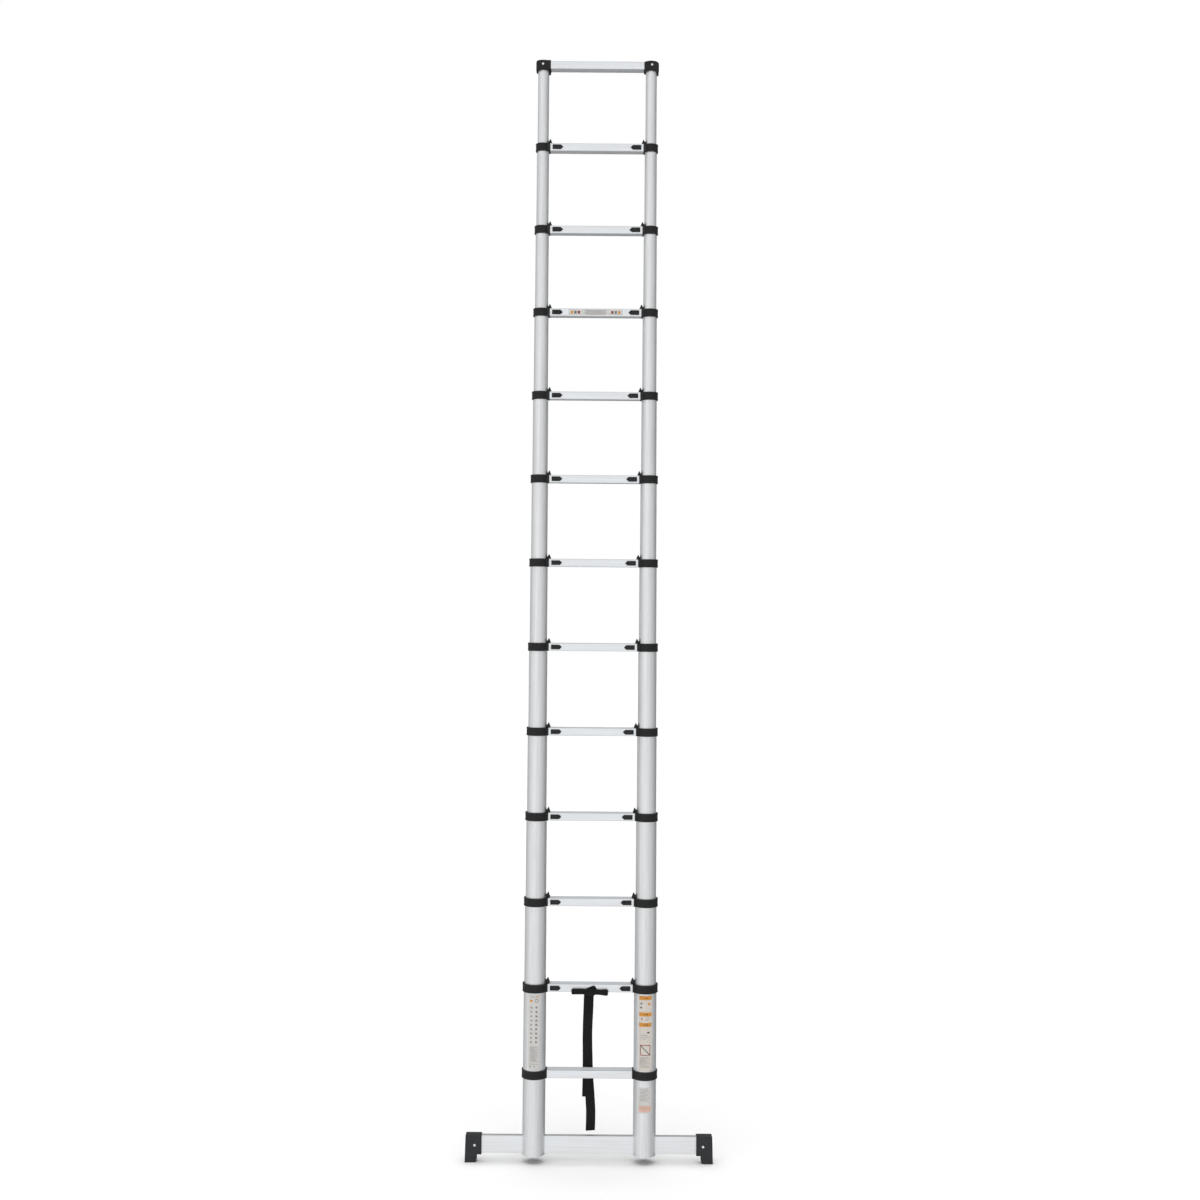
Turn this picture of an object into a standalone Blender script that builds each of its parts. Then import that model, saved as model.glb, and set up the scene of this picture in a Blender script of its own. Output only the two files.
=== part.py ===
"""Telescoping ladder with thirteen rungs, fully extended.

The ladder stands along +Z on its stabiliser bar, its rungs lie along X and its front faces -Y.
The origin is on the floor, midway between the two feet. All lengths are in metres.

Each stage is a pair of tubes that slides inside the tubes of the stage below. A tube carries a
moulded collar at its top end, a rung joins the two collars, and the rung holds a sprung lock at
each end, whose pin reaches through the collar towards the next tube.
"""

import math

import bmesh
import bpy
from mathutils import Matrix

# Overall layout
RUNG_PITCH = 0.290
FIRST_RUNG = 0.300  # height of the lowest rung's middle
TOP_RUNG = 13
BASE_RUNG = 2  # the highest rung that is fixed to the outer tubes
STILE_X = 0.1885  # from the ladder's middle to a tube's axis
MESH_GAP = 0.0003  # between two pieces that touch
CUT_PAST = 0.002  # how far a cutting tool reaches past the face that it opens
JOIN = 0.002  # how far one solid reaches into another that it is joined to

# Tubes
BASE_RADIUS = 0.0385
TUBE_WALL = 0.0014
TUBE_CLEARANCE = 0.00035
TUBE_OVERLAP = 0.0665  # how far a tube reaches below the rung it slides through
BASE_BOTTOM = 0.027
TUBE_SIDES = 24

# Rungs
RUNG_DEPTH = 0.040
RUNG_HEIGHT = 0.027
RUNG_WALL = 0.0016
RUNG_CORNER = 0.0025

# Collars
COLLAR_HEIGHT = 0.028
COLLAR_RING = 0.0045  # beyond the tube
COLLAR_FLANGE = 0.005  # beyond the tube, on the rung's side
FLANGE_DEPTH = 0.045
FLANGE_STEP = 0.0005  # the flange is this much shorter than the ring, above and below
TAB_REACH = 0.0115  # beyond the tube
TAB_PEAK = (0.004, 0.006)  # the peak's flat top, beyond the tube
TAB_RISE = 0.015
TAB_SHOULDER = 0.007  # its height against the tube
TAB_EDGE = 0.002  # its height at the tip
TAB_DEPTH = 0.030
TAB_GAP = 0.0005  # between the tab and the tube's own surface

# Locks
LOCK_INSET = 0.008  # from the collar to the thumb plate
LOCK_TRAVEL = 0.012
PLATE_LENGTH = 0.037
PLATE_POINT = 0.008
PLATE_HEIGHT = 0.016
PLATE_THICKNESS = 0.005
STEM_INSET = 0.006  # from the plate's outer end to the stem
STEM_LENGTH = 0.008
STEM_HEIGHT = 0.0054
CARRIER_LENGTH = 0.012
CARRIER_HEIGHT = 0.012
CARRIER_BACK = 0.005
SLIDE_GAP = 0.0006  # round the stem in its slot
PIN_RADIUS = 0.004
BORE_RADIUS = 0.0045
PIN_SHORT = 0.0008  # the pin stops this far from the next tube
PIN_SIDES = 12

# Top caps
CAP_HALF_WIDTH = 0.026
CAP_HALF_DEPTH = 0.0235
CAP_TOP = 0.0165
CAP_BOTTOM = -0.0185
CAP_CORNER = 0.006
CAP_LIP_BOTTOM = -0.0285
CAP_LIP_DEPTH = 0.016
CAP_LIP_INSET = 0.0005  # from the cap's side
TOP_TUBE_END = 0.008  # above the top rung's middle

# Stabiliser bar and its feet
BAR_BOTTOM = 0.031
BAR_HEIGHT = 0.059
BAR_DEPTH = 0.019
BAR_WALL = 0.0015
BAR_HALF_LENGTH = 0.411
FOOT_INNER = 0.365
FOOT_OUTER = 0.4195
FOOT_DEPTH = 0.028
FOOT_TOP = 0.0935
FOOT_CORNER = 0.003
FOOT_SPLAY = 0.0025  # how far the outer side leans out towards the floor
LEG_INNER = 0.377
LEG_TAPER = 0.005
LEG_ROUND = 0.008
SHOULDER = 0.027  # height of the body's lower edge, beside the leg

# Carrying strap
STRAP_WIDTH = 0.032
STRAP_THICKNESS = 0.004
STRAP_BOTTOM = 0.097
HANDLE_LENGTH = 0.120
HANDLE_HEIGHT = 0.019
HANDLE_THICKNESS = 0.012
HANDLE_LIFT = 0.0032  # the handle's middle above the rung's lower edge

SIDES = (("left", -1), ("right", 1))


def clear_scene():
    for obj in list(bpy.data.objects):
        bpy.data.objects.remove(obj, do_unlink=True)


def make_material(name, color, roughness, metallic=0.0):
    material = bpy.data.materials.new(name)
    material.use_nodes = True
    shader = material.node_tree.nodes["Principled BSDF"]
    shader.inputs["Base Color"].default_value = (*color, 1.0)
    shader.inputs["Roughness"].default_value = roughness
    shader.inputs["Metallic"].default_value = metallic
    return material


def rung_height(rung):
    return FIRST_RUNG + (rung - 1) * RUNG_PITCH


def stage_radius(rung):
    """Outer radius of the tubes that carry this rung."""
    return BASE_RADIUS - (rung - BASE_RUNG) * (TUBE_WALL + TUBE_CLEARANCE)


def flange_x(rung):
    """Distance from the ladder's middle to the face of the collar that this rung meets."""
    return STILE_X - stage_radius(rung) - COLLAR_FLANGE


# Basic solids, each a new object with its place in its mesh


def object_from(bm, name):
    bmesh.ops.recalc_face_normals(bm, faces=bm.faces)
    mesh = bpy.data.meshes.new(name)
    bm.to_mesh(mesh)
    bm.free()
    obj = bpy.data.objects.new(name, mesh)
    bpy.context.scene.collection.objects.link(obj)
    return obj


def loft(rings):
    """A closed solid through rings of equally many points, with a flat face at each end."""
    bm = bmesh.new()
    loops = [[bm.verts.new(point) for point in ring] for ring in rings]
    for lower, upper in zip(loops, loops[1:]):
        count = len(lower)
        for i in range(count):
            bm.faces.new((lower[i], lower[(i + 1) % count], upper[(i + 1) % count], upper[i]))
    bm.faces.new(reversed(loops[0]))
    bm.faces.new(loops[-1])
    return object_from(bm, "solid")


def circle(radius, sides):
    steps = (2 * math.pi * i / sides for i in range(sides))
    return [(radius * math.cos(angle), radius * math.sin(angle)) for angle in steps]


def rounded_rectangle(width, height, radius, steps=2):
    """Outline of a rectangle around the origin whose corners are arcs of a few steps."""
    outline = []
    for quarter, (sx, sy) in enumerate(((1, 1), (-1, 1), (-1, -1), (1, -1))):
        for i in range(steps + 1):
            angle = math.pi / 2 * (quarter + i / steps)
            x = sx * (width / 2 - radius) + radius * math.cos(angle)
            y = sy * (height / 2 - radius) + radius * math.sin(angle)
            outline.append((x, y))
    return outline


def turned(profile, sides):
    """A solid of revolution about Z, from its (radius, height) points, lowest first."""
    rings = [[(x, y, z) for x, y in circle(radius, sides)] for radius, z in profile]
    return loft(rings)


def prism_x(outline, low, high):
    """The outline's (y, z) points drawn along X."""
    return loft([[(x, y, z) for y, z in outline] for x in (low, high)])


def prism_y(outline, low, high):
    """The outline's (x, z) points drawn along Y."""
    return loft([[(x, y, z) for x, z in outline] for y in (low, high)])


def box(low, high):
    corners = [(low[0], low[1]), (high[0], low[1]), (high[0], high[1]), (low[0], high[1])]
    return loft([[(x, y, z) for x, y in corners] for z in (low[2], high[2])])


def pin_along_x(radius, low, high, height=0.0):
    outline = [(y, z + height) for y, z in circle(radius, PIN_SIDES)]
    return prism_x(outline, low, high)


def combine(target, tool, operation):
    """Union or difference of two objects, kept in the first one's mesh."""
    modifier = target.modifiers.new(operation.title(), "BOOLEAN")
    modifier.operation = operation
    modifier.solver = "EXACT"
    modifier.object = tool
    graph = bpy.context.evaluated_depsgraph_get()
    mesh = bpy.data.meshes.new_from_object(target.evaluated_get(graph))
    target.modifiers.remove(modifier)
    target.data = mesh
    bpy.data.objects.remove(tool, do_unlink=True)


def add(target, *tools):
    for tool in tools:
        combine(target, tool, "UNION")


def cut(target, *tools):
    for tool in tools:
        combine(target, tool, "DIFFERENCE")


def shift(obj, offset, turn=0.0):
    """Moves an object's mesh, after turning it about Z."""
    obj.data.transform(Matrix.Translation(offset) @ Matrix.Rotation(turn, 4, "Z"))
    return obj


def finish(obj, name, material, location=(0, 0, 0), rotation=(0, 0, 0)):
    obj.name = name
    obj.data.name = name
    obj.data.materials.clear()
    obj.data.materials.append(material)
    obj.data.shade_smooth()
    obj.data.set_sharp_from_angle(angle=math.radians(30))
    obj.location = location
    obj.rotation_euler = rotation
    return obj


def copy_of(obj, name, location, rotation):
    """A second object on the same mesh."""
    twin = bpy.data.objects.new(name, obj.data)
    bpy.context.scene.collection.objects.link(twin)
    twin.location = location
    twin.rotation_euler = rotation
    return twin


# Stiles: a tube and its collar, about the tube's axis, with the rung towards +X at height 0


def collar_solids(radius, height=0.0, tab=True):
    """The flange that meets the rung, and the raised stop above it."""
    half = COLLAR_HEIGHT / 2
    flange = box(
        (0, -FLANGE_DEPTH / 2, height - half + FLANGE_STEP),
        (radius + COLLAR_FLANGE, FLANGE_DEPTH / 2, height + half - FLANGE_STEP),
    )
    if not tab:
        return [flange]
    inner = radius - TAB_DEPTH / 4
    ring = radius + COLLAR_RING
    tip = radius + TAB_REACH
    foot = height + half
    outline = [
        (inner, foot - JOIN),
        (ring, foot - JOIN),
        (ring, foot),
        (tip, foot),
        (tip, foot + TAB_EDGE),
        (radius + TAB_PEAK[1], foot + TAB_RISE),
        (radius + TAB_PEAK[0], foot + TAB_RISE),
        (radius + TAB_GAP, foot + TAB_SHOULDER),
        (inner, foot + TAB_SHOULDER),
    ]
    tab = prism_y(outline, -TAB_DEPTH / 2, TAB_DEPTH / 2)
    around = radius + TAB_GAP
    cut(tab, turned([(around, foot - JOIN - CUT_PAST), (around, foot + TAB_RISE + CUT_PAST)], TUBE_SIDES))
    return [flange, tab]


def ring_profile(radius, height):
    """The step out to a collar's ring and back, as (radius, height) points."""
    half = COLLAR_HEIGHT / 2
    ring = radius + COLLAR_RING
    low, high = height - half, height + half
    return [(radius, low), (ring, low), (ring, high), (radius, high)]


def bore(radius, low, high):
    inner = radius - TUBE_WALL
    return turned([(inner, low - CUT_PAST), (inner, high + CUT_PAST)], TUBE_SIDES)


def pin_bore(radius, height=0.0):
    inside = radius - TUBE_WALL - CUT_PAST
    return pin_along_x(BORE_RADIUS, inside, radius + COLLAR_FLANGE + CUT_PAST, height)


def make_stile(rung):
    """Tube and collar of a sliding stage, for the left side."""
    radius = stage_radius(rung)
    bottom = -RUNG_PITCH - TUBE_OVERLAP
    profile = [(radius, bottom), *ring_profile(radius, 0)[:3]]
    stile = turned(profile, TUBE_SIDES)
    add(stile, *collar_solids(radius))
    cut(stile, bore(radius, bottom, COLLAR_HEIGHT / 2), pin_bore(radius), pin_bore(radius, -RUNG_PITCH))
    return stile


# Rungs, along X about the rung's middle


def rung_outer(half_length):
    outline = rounded_rectangle(RUNG_DEPTH, RUNG_HEIGHT, RUNG_CORNER)
    return prism_x(outline, -half_length, half_length)


def rung_hollow(half_length):
    depth, height = RUNG_DEPTH - 2 * RUNG_WALL, RUNG_HEIGHT - 2 * RUNG_WALL
    outline = rounded_rectangle(depth, height, RUNG_CORNER - RUNG_WALL / 2, steps=1)
    return prism_x(outline, -half_length, half_length)


def thumb_slots(rung):
    """The slots in a rung's front wall that the two lock stems slide in."""
    stem = flange_x(rung) - LOCK_INSET - STEM_INSET
    inner, outer = stem - STEM_LENGTH - LOCK_TRAVEL - SLIDE_GAP, stem + SLIDE_GAP
    half = STEM_HEIGHT / 2 + SLIDE_GAP
    front, back = -RUNG_DEPTH / 2 - CUT_PAST, -RUNG_DEPTH / 2 + RUNG_WALL + CUT_PAST
    return [
        box((min(side * inner, side * outer), front, -half), (max(side * inner, side * outer), back, half))
        for _, side in SIDES
    ]


def make_rung(rung):
    half_length = flange_x(rung) - MESH_GAP
    body = rung_outer(half_length)
    cut(body, rung_hollow(half_length + CUT_PAST), *thumb_slots(rung))
    return body


# Locks, with the collar's face at x = 0 and the ladder's middle towards +X


def make_lock():
    start, end = LOCK_INSET, LOCK_INSET + PLATE_LENGTH
    half = PLATE_HEIGHT / 2
    back = -RUNG_DEPTH / 2 - MESH_GAP
    plate = prism_y(
        [(start, -half), (end - PLATE_POINT, -half), (end, 0), (end - PLATE_POINT, half), (start, half)],
        back - PLATE_THICKNESS,
        back,
    )
    stem_start = LOCK_INSET + STEM_INSET
    inside = -RUNG_DEPTH / 2 + RUNG_WALL + SLIDE_GAP
    stem = box(
        (stem_start, back - JOIN, -STEM_HEIGHT / 2),
        (stem_start + STEM_LENGTH, inside + JOIN, STEM_HEIGHT / 2),
    )
    carrier_start = stem_start + (STEM_LENGTH - CARRIER_LENGTH) / 2
    carrier = box(
        (carrier_start, inside, -CARRIER_HEIGHT / 2),
        (carrier_start + CARRIER_LENGTH, CARRIER_BACK, CARRIER_HEIGHT / 2),
    )
    tip = -(COLLAR_FLANGE + TUBE_WALL + TUBE_CLEARANCE - PIN_SHORT)
    add(plate, stem, carrier, pin_along_x(PIN_RADIUS, tip, carrier_start + JOIN))
    return plate


# Base section: both outer tubes with the two lowest rungs fixed between their collars


def outer_stile(side):
    """Solid outer tube with the rings and flanges of rungs 1 and 2, in the ladder's frame."""
    rungs = range(1, BASE_RUNG + 1)
    profile = [(BASE_RADIUS, BASE_BOTTOM)]
    for rung in rungs:
        profile += ring_profile(BASE_RADIUS, rung_height(rung))
    stile = turned(profile[:-1], TUBE_SIDES)
    for rung in rungs:
        add(stile, *collar_solids(BASE_RADIUS, rung_height(rung), tab=rung == BASE_RUNG))
    return shift(stile, (side * STILE_X, 0, 0), turn=0 if side < 0 else math.pi)


def make_base_frame():
    frame = outer_stile(-1)
    add(frame, outer_stile(1))
    top = rung_height(BASE_RUNG) + COLLAR_HEIGHT / 2
    rungs = range(1, BASE_RUNG + 1)
    face = flange_x(BASE_RUNG)
    for rung in rungs:
        add(frame, shift(rung_outer(face + JOIN), (0, 0, rung_height(rung))))
    for rung in rungs:
        cut(frame, shift(rung_hollow(face + JOIN / 2), (0, 0, rung_height(rung))))
    for _, side in SIDES:
        turn = 0 if side < 0 else math.pi
        tools = [bore(BASE_RADIUS, BASE_BOTTOM, top)]
        tools += [pin_bore(BASE_RADIUS, rung_height(rung)) for rung in rungs]
        cut(frame, *(shift(tool, (side * STILE_X, 0, 0), turn) for tool in tools))
    cut(frame, *(shift(slot, (0, 0, rung_height(BASE_RUNG))) for slot in thumb_slots(BASE_RUNG)))
    cut(frame, bar_solid(BAR_HALF_LENGTH, MESH_GAP))
    return frame


# Top section: two tubes joined by the top rung, with a cap over each corner


def make_top_frame():
    radius = stage_radius(TOP_RUNG)
    bottom = -RUNG_PITCH - TUBE_OVERLAP
    frame = rung_outer(STILE_X)
    for _, side in SIDES:
        tube = turned([(radius, bottom), (radius, TOP_TUBE_END)], TUBE_SIDES)
        add(frame, shift(tube, (side * STILE_X, 0, 0)))
    cut(frame, rung_hollow(STILE_X - radius + TUBE_WALL + CUT_PAST))
    for _, side in SIDES:
        turn = 0 if side < 0 else math.pi
        tools = (bore(radius, bottom, RUNG_HEIGHT / 2), pin_bore(radius, -RUNG_PITCH))
        cut(frame, *(shift(tool, (side * STILE_X, 0, 0), turn) for tool in tools))
    return frame


def make_cap(rung_side):
    """Corner cap about the tube's axis, open below for the tube and to one side for the rung.

    Both caps have their lower lip on the +X side of the tube.
    """
    outline = rounded_rectangle(2 * CAP_HALF_WIDTH, 2 * CAP_HALF_DEPTH, CAP_CORNER)
    cap = loft([[(x, y, z) for x, y in outline] for z in (CAP_BOTTOM, CAP_TOP)])
    socket = stage_radius(TOP_RUNG) + MESH_GAP
    lip = box(
        (socket - JOIN, -CAP_LIP_DEPTH / 2, CAP_LIP_BOTTOM),
        (CAP_HALF_WIDTH - CAP_LIP_INSET, CAP_LIP_DEPTH / 2, CAP_BOTTOM + JOIN),
    )
    add(cap, lip)
    half_depth, half_height = RUNG_DEPTH / 2 + MESH_GAP, RUNG_HEIGHT / 2 + MESH_GAP
    ends = sorted((-rung_side * MESH_GAP, rung_side * (CAP_HALF_WIDTH + CUT_PAST)))
    cut(
        cap,
        turned([(socket, CAP_LIP_BOTTOM - CUT_PAST), (socket, TOP_TUBE_END + MESH_GAP)], TUBE_SIDES),
        box((ends[0], -half_depth, -half_height), (ends[1], half_depth, half_height)),
    )
    return cap


# Stabiliser bar and feet


def bar_solid(half_length, margin=0.0):
    return box(
        (-half_length, -BAR_DEPTH / 2 - margin, BAR_BOTTOM - margin),
        (half_length, BAR_DEPTH / 2 + margin, BAR_BOTTOM + BAR_HEIGHT + margin),
    )


def make_bar():
    bar = bar_solid(BAR_HALF_LENGTH)
    cut(bar, bar_solid(BAR_HALF_LENGTH + CUT_PAST, -BAR_WALL))
    return bar


def make_foot(side):
    """End cap of the bar, with a leg down to the floor under its outer part."""
    heel = LEG_INNER + LEG_TAPER
    outline = [
        (FOOT_INNER, SHOULDER),
        (LEG_INNER, SHOULDER),
        (heel, LEG_ROUND),
        (heel + 0.3 * LEG_ROUND, 0.3 * LEG_ROUND),
        (heel + LEG_ROUND, 0),
        (FOOT_OUTER + FOOT_SPLAY, 0),
        (FOOT_OUTER, FOOT_TOP - FOOT_CORNER),
        (FOOT_OUTER - FOOT_CORNER, FOOT_TOP),
        (FOOT_INNER, FOOT_TOP),
    ]
    foot = prism_y([(side * x, z) for x, z in outline], -FOOT_DEPTH / 2, FOOT_DEPTH / 2)
    cut(foot, bar_solid(BAR_HALF_LENGTH + MESH_GAP, MESH_GAP))
    return foot


# Carrying strap: a handle in front of the second rung, and webbing that passes under the rung
# and hangs behind the bottom rung


def make_strap():
    rung_bottom = rung_height(BASE_RUNG) - RUNG_HEIGHT / 2
    front = -RUNG_DEPTH / 2 - MESH_GAP
    back = RUNG_DEPTH / 2 + 2 * MESH_GAP
    top = rung_bottom - MESH_GAP
    handle_middle = rung_bottom + HANDLE_LIFT
    strap = box(
        (-HANDLE_LENGTH / 2, front - HANDLE_THICKNESS, handle_middle - HANDLE_HEIGHT / 2),
        (HANDLE_LENGTH / 2, front, handle_middle + HANDLE_HEIGHT / 2),
    )
    across = box(
        (-STRAP_WIDTH / 2, front - STRAP_THICKNESS, top - STRAP_THICKNESS),
        (STRAP_WIDTH / 2, back + STRAP_THICKNESS, top),
    )
    hanging = box(
        (-STRAP_WIDTH / 2, back, STRAP_BOTTOM),
        (STRAP_WIDTH / 2, back + STRAP_THICKNESS, top - STRAP_THICKNESS / 2),
    )
    add(strap, across, hanging)
    return strap


def build_base(materials):
    finish(make_base_frame(), "base_frame", materials["tube"])
    finish(make_bar(), "stabiliser_bar", materials["bar"])
    for name, side in SIDES:
        finish(make_foot(side), f"foot_{name}", materials["foot"])
    finish(make_strap(), "carry_strap", materials["webbing"])


def build_stages(materials):
    for rung in range(BASE_RUNG + 1, TOP_RUNG):
        height = rung_height(rung)
        left = finish(make_stile(rung), f"stile_left_{rung:02d}", materials["tube"], (-STILE_X, 0, height))
        copy_of(left, f"stile_right_{rung:02d}", (STILE_X, 0, height), (0, 0, math.pi))
        finish(make_rung(rung), f"rung_{rung:02d}", materials["rung"], (0, 0, height))


def build_locks(materials):
    mesh_owner = None
    for rung in range(BASE_RUNG, TOP_RUNG):
        for name, side in SIDES:
            place = (side * flange_x(rung), 0, rung_height(rung))
            turn = (0, 0 if side < 0 else math.pi, 0)
            if mesh_owner is None:
                mesh_owner = finish(make_lock(), f"lock_{name}_{rung:02d}", materials["lock"], place, turn)
            else:
                copy_of(mesh_owner, f"lock_{name}_{rung:02d}", place, turn)


def build_top(materials):
    height = rung_height(TOP_RUNG)
    finish(make_top_frame(), "top_frame", materials["tube"], (0, 0, height))
    for name, side in SIDES:
        finish(make_cap(-side), f"cap_{name}", materials["collar"], (side * STILE_X, 0, height))


def main():
    clear_scene()
    materials = {
        "tube": make_material("anodised_tube", (0.62, 0.63, 0.65), 0.42, 1.0),
        "rung": make_material("brushed_rung", (0.66, 0.67, 0.70), 0.38, 1.0),
        "bar": make_material("brushed_bar", (0.67, 0.68, 0.71), 0.38, 1.0),
        "collar": make_material("black_plastic", (0.025, 0.025, 0.025), 0.55),
        "lock": make_material("slate_plastic", (0.026, 0.028, 0.032), 0.5),
        "foot": make_material("grey_rubber", (0.052, 0.05, 0.058), 0.75),
        "webbing": make_material("black_webbing", (0.012, 0.011, 0.010), 0.9),
    }
    build_base(materials)
    build_stages(materials)
    build_locks(materials)
    build_top(materials)


main()
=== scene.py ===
import math

import bmesh
import bpy
from mathutils import Matrix, Vector


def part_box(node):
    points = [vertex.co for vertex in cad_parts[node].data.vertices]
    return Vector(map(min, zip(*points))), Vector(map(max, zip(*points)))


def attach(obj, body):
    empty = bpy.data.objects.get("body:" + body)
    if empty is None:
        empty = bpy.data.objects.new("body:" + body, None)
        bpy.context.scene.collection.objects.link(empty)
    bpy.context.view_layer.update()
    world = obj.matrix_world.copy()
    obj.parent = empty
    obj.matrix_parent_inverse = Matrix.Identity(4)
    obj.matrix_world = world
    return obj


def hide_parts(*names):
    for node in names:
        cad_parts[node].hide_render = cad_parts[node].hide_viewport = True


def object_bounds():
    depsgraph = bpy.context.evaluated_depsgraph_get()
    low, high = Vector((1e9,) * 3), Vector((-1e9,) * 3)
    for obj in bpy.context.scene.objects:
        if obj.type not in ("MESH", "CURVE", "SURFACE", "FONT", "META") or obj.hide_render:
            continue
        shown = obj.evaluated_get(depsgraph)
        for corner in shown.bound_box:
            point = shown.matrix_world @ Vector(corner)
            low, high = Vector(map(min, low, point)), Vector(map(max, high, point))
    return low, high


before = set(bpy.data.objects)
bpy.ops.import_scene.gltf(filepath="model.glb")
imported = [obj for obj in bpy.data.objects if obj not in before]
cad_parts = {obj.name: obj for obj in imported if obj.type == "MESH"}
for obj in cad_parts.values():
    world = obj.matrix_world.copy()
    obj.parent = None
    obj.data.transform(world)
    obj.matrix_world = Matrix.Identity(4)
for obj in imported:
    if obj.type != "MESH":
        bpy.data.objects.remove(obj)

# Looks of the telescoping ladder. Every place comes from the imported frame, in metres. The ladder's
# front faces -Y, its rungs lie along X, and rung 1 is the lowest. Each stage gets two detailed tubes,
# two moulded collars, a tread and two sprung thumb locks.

CAD_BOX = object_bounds()

# Places and sizes that the frame gives
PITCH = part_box("rung_04")[0].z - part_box("rung_03")[0].z
BASE_RUNG, TOP_RUNG = 2, 13
RING = 0.0045  # a collar's ring beyond its tube
STILE_X = (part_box("cap_right")[0].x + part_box("cap_right")[1].x) / 2
RUNG_LOW, RUNG_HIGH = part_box("rung_03")
RUNG_DEPTH = RUNG_HIGH.y - RUNG_LOW.y
RUNG_HEIGHT = RUNG_HIGH.z - RUNG_LOW.z
FIRST_RUNG = (RUNG_LOW.z + RUNG_HIGH.z) / 2 - 2 * PITCH
BASE_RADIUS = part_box("base_frame")[1].y - RING
TOP_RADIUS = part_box("top_frame")[1].x - STILE_X
RADIUS_STEP = (BASE_RADIUS - TOP_RADIUS) / (TOP_RUNG - BASE_RUNG)
TUBE_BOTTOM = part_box("base_frame")[0].z
BAR_LOW, BAR_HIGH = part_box("stabiliser_bar")
SIDES = (("left", -1), ("right", 1))

# Tubes and collars
TUBE_SIDES = 96
TUBE_WALL = 0.0014
RIM = 0.0004  # the chamfer at a tube's end
COLLAR_HALF = 0.014
FLANGE = 0.005
FLANGE_HALF_DEPTH = 0.0225
LIP = 0.0015  # the collar's inner lip, over the tube's end
FIT = 0.00005  # between pieces that are pressed together
GAP = 0.0003  # between pieces that are slid together
FIN_REACH, FIN_RISE, FIN_SHOULDER, FIN_HALF = 0.0115, 0.015, 0.007, 0.015
FIN_ROOT = 0.00375
FIN_GAP = 0.0005
PIN_RADIUS, BORE_RADIUS = 0.004, 0.0045
BORE_CUT = 0.004  # how far a bore's cutter runs to both sides of the tube's face
PAST = 0.05  # how far a cutter runs past the piece
TOP_TUBE_END = 0.008  # above the middle of rung 13
DIMPLES = {"left": (-112, -0.031), "right": (-62, -0.031)}  # degrees round from +X, height from the rung

# Treads
TREAD_WALL = 0.0016
TREAD_CORNER = 0.0025
RIB_PITCH, RIB_DEPTH, RIB_COUNT = 0.003, 0.0006, 10
RIB_FLANKS = (0.4725, 0.28875)  # a groove's upper and lower half widths, as shares of the pitch
INNER_CORNER = 0.6  # how much of the wall an extrusion's inner corner loses

# Locks, from the collar's face towards the middle
LOCK_START, LOCK_LENGTH, LOCK_POINT = 0.008, 0.037, 0.008
LOCK_HALF, LOCK_THICKNESS, LOCK_TRAVEL = 0.008, 0.005, 0.012
STEM_START, STEM_LENGTH, STEM_HALF = 0.014, 0.008, 0.0027
CARRIER_HALF = 0.006
CARRIER_START = STEM_START + STEM_LENGTH / 2 - CARRIER_HALF
PIN_TIP, PIN_HOLD = 0.00595, 0.0075

# Top caps, about the middle of rung 13
CAP_BOTTOM = -0.0185
CAP_ROWS = ((0.0, 0.011), (0.004, 0.0075), (0.008, 0.006))  # height above its bottom, corner radius
CAP_RIVET_X, CAP_RIVET_Z, CAP_RECESS = 0.002, 0.003, 0.0009

# Feet and the bar's screws
LEG_INSET, FOOT_SHOULDER, FOOT_SPLAY = 0.0165, 0.027, 0.0025
FOOT_RIVET_X, FOOT_RIVET_Z = 0.3885, 0.0575
FOOT_PANEL, FOOT_RECESS = 0.0006, 0.0008
SCREW_HEIGHTS = (("upper", 0.0615), ("lower", 0.0350))

# Strap
STRAP_WIDTH = 0.032
WEBBING = 0.0018
GRIP_MIDDLE = 0.0095  # below the grip's top
STRAP_CLEAR = 0.0012  # from the rungs' back faces to the webbing's middle

# Labels
FILM, PRINT = 0.00012, 0.00004
LABEL_RUNG = 10

# Camera, standing in front of the ladder's lower half
CAMERA_PLACE = (0.0215, -5.2, 1.91)
CAMERA_TILT, CAMERA_ROLL = 0.0404, 0.0080
CAMERA_LENS, SENSOR, CAMERA_SHIFT = 45.09, 36.0, -0.05

# Light from the studio's walls, from the darkest side to the brightest, and from its ceiling
KEY_SIDE = (-0.40, -0.92, 0.0)
WALL_LIGHT = (0.17, 1.04)
CEILING_LIGHT = 0.5
CEILING_BLEND = (0.6, 0.95)  # how steeply up the walls' light ends and the ceiling's is full


def rung_z(rung):
    return FIRST_RUNG + (rung - 1) * PITCH


def stage_radius(rung):
    """Outer radius of the tubes that carry this rung."""
    return BASE_RADIUS - max(0, rung - BASE_RUNG) * RADIUS_STEP


def face_x(rung):
    """Distance from the ladder's middle to the collar's face, where the tread starts."""
    return STILE_X - stage_radius(rung) - FLANGE


def body_of_stage(rung):
    return "base" if rung <= BASE_RUNG else f"stage_{rung:02d}"


# ---------------------------------------------------------------- materials


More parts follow.
